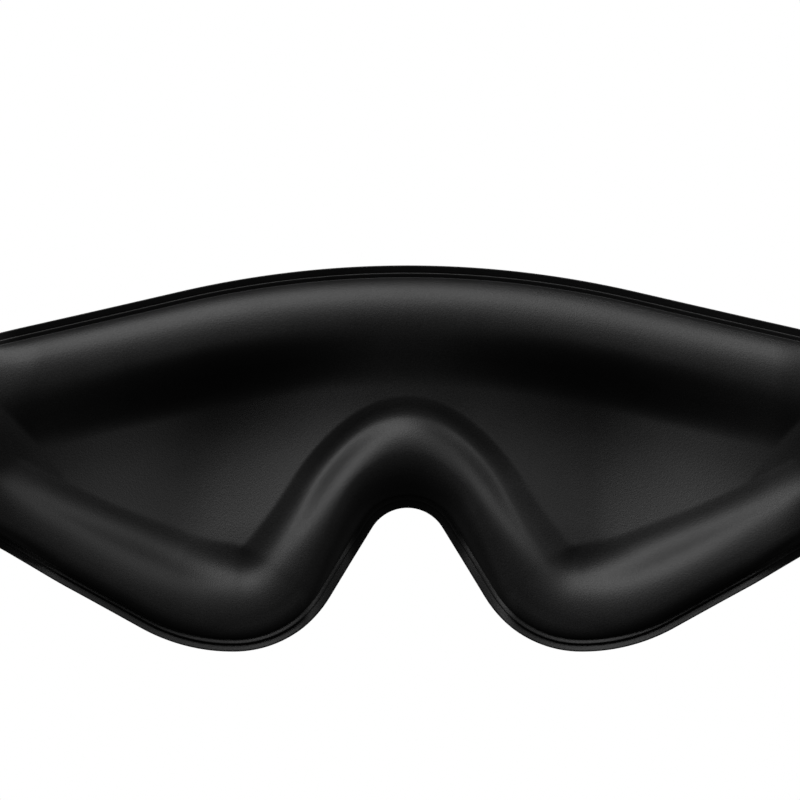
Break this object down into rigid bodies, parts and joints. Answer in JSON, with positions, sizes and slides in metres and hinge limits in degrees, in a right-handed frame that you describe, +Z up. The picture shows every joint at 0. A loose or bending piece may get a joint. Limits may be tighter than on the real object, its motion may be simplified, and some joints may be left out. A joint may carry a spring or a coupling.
{
  "type": "contoured sleep eye mask",
  "caption": "Contoured padded sleep mask with hollow eye cups, a moulded nose ridge and an open elastic head band that closes with hook and loop.",
  "frame": {"origin": "where the padded ridge touches the bridge of the nose, on the face side of the mask", "axes": "+X across the mask in the direction of the band that carries the loop patch, +Y away from the face, +Z up towards the brow"},
  "size_m": [0.2646, 0.2039, 0.1038],
  "materials": {
    "cover_fabric": "smooth black knit pressed over foam, soft broad sheen",
    "lining_fabric": "smooth black brushed knit with a fine grain, soft broad sheen",
    "blackout_film": "thin black light-blocking sheet, matte",
    "foam": "dark grey soft foam, matte, fine open cells",
    "elastic": "black woven elastic with fine lengthwise ribs",
    "hook_tape": "black woven tape with fine plastic hooks",
    "loop_tape": "black brushed loop pile",
    "thread": "black polyester sewing thread"
  },
  "bodies": {
    "mask": {"outer_cover": "cover_fabric", "blackout_interlining": "blackout_film", "foam_core": "foam", "face_lining": "lining_fabric", "left_band_anchor": "elastic", "left_end_patch": "cover_fabric", "left_bar_tacks": "thread", "right_band_anchor": "elastic", "right_end_patch": "cover_fabric", "right_bar_tacks": "thread"},
    "left_temple_run": {"left_temple_band": "elastic"},
    "left_rear_run": {"left_rear_band": "elastic", "left_hook_patch": "hook_tape", "left_hook_stitching": "thread", "left_tip_hem": "elastic"},
    "right_temple_run": {"right_temple_band": "elastic"},
    "right_rear_run": {"right_rear_band": "elastic", "right_loop_patch": "loop_tape", "right_loop_stitching": "thread", "right_tip_hem": "elastic"}
  },
  "joints": [
    {"name": "left_band_swing", "type": "hinge", "parent": "mask", "child": "left_temple_run", "pos_m": [-0.1304, -0.01292, 0.00004], "axis": [0, 0, 1], "range_deg": [-240, 24]},
    {"name": "left_band_bend", "type": "hinge", "parent": "left_temple_run", "child": "left_rear_run", "pos_m": [-0.1263, -0.07479, 0.00004], "axis": [0, 0, 1], "range_deg": [-41, 55]},
    {"name": "right_band_swing", "type": "hinge", "parent": "mask", "child": "right_temple_run", "pos_m": [0.1304, -0.01292, 0.00004], "axis": [0, 0, -1], "range_deg": [-234, 33]},
    {"name": "right_band_bend", "type": "hinge", "parent": "right_temple_run", "child": "right_rear_run", "pos_m": [0.1263, -0.07479, 0.00004], "axis": [0, 0, -1], "range_deg": [-47, 46]}
  ]
}
